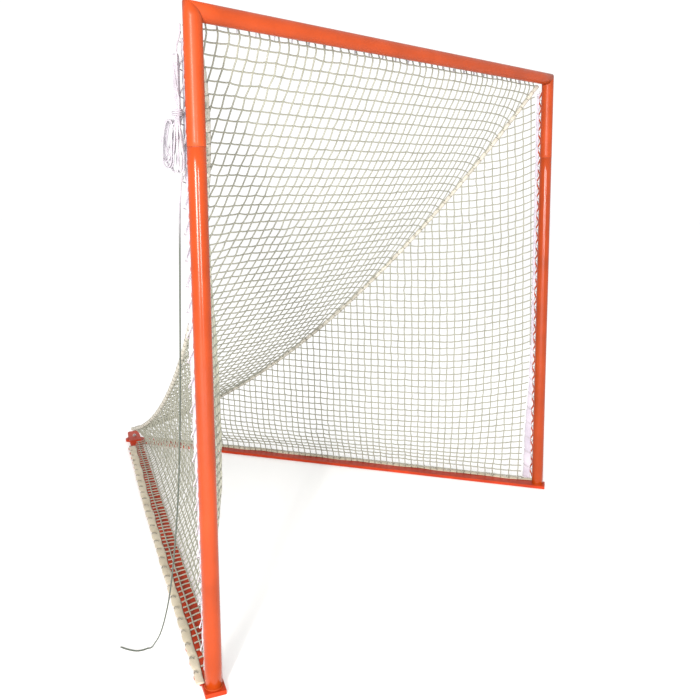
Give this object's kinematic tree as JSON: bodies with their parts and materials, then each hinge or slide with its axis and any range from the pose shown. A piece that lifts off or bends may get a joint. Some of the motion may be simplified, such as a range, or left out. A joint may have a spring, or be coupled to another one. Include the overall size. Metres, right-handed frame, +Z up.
{
  "type": "lacrosse goal",
  "caption": "Free-standing lacrosse goal: square mouth of round tube on a V-shaped flat-bar base, with a laced square-mesh net of top and side panels meeting at the rear apex.",
  "frame": {"origin": "on the floor, under the middle of the frame's length and width, about 1 m behind the goal line", "axes": "+X along the goal line, to the right seen from the playing side; +Y from the mouth back to the apex; +Z up"},
  "size_m": [2.0039, 2.0728, 1.879],
  "materials": {
    "orange_powder_coat": "glossy orange powder coat",
    "orange_base_coat": "semi-gloss orange powder coat, slightly redder on the flat bar",
    "sleeve_steel": "plain drawn steel",
    "bolt_steel": "zinc plated",
    "net_twine": "matt twisted off-white twine, knotted square mesh",
    "white_tape": "matt woven white tape with a lavender cast",
    "cream_tape": "matt woven cream tape",
    "seam_rope": "matt beige braided seam",
    "lacing_cord": "matt grey-white braided cord",
    "drawcord": "matt grey-white braided cord"
  },
  "bodies": {
    "root": {"crossbar_tube": "orange_powder_coat", "crossbar_rod": "orange_powder_coat", "left_upper_leg": "orange_powder_coat", "left_post": "orange_powder_coat", "left_post_rod": "orange_powder_coat", "left_leg_rod": "orange_powder_coat", "left_base_bar": "orange_base_coat", "left_base_rod": "orange_base_coat", "left_joint_sleeve": "sleeve_steel", "left_post_tape": "white_tape", "left_base_tape": "cream_tape", "left_post_lacing": "lacing_cord", "left_base_lacing": "lacing_cord", "left_net_panel": "net_twine", "left_seam_rope": "seam_rope", "right_upper_leg": "orange_powder_coat", "right_post": "orange_powder_coat", "right_post_rod": "orange_powder_coat", "right_leg_rod": "orange_powder_coat", "right_base_bar": "orange_base_coat", "right_base_rod": "orange_base_coat", "right_joint_sleeve": "sleeve_steel", "right_post_tape": "white_tape", "right_base_tape": "cream_tape", "right_post_lacing": "lacing_cord", "right_base_lacing": "lacing_cord", "right_net_panel": "net_twine", "right_seam_rope": "seam_rope", "crossbar_tape": "white_tape", "crossbar_lacing": "lacing_cord", "top_net_panel": "net_twine", "apex_bolt": "bolt_steel", "apex_nut": "bolt_steel", "drawcord_lead": "drawcord", "drawcord_hank": "drawcord", "drawcord_tail": "drawcord"}
  },
  "joints": []
}
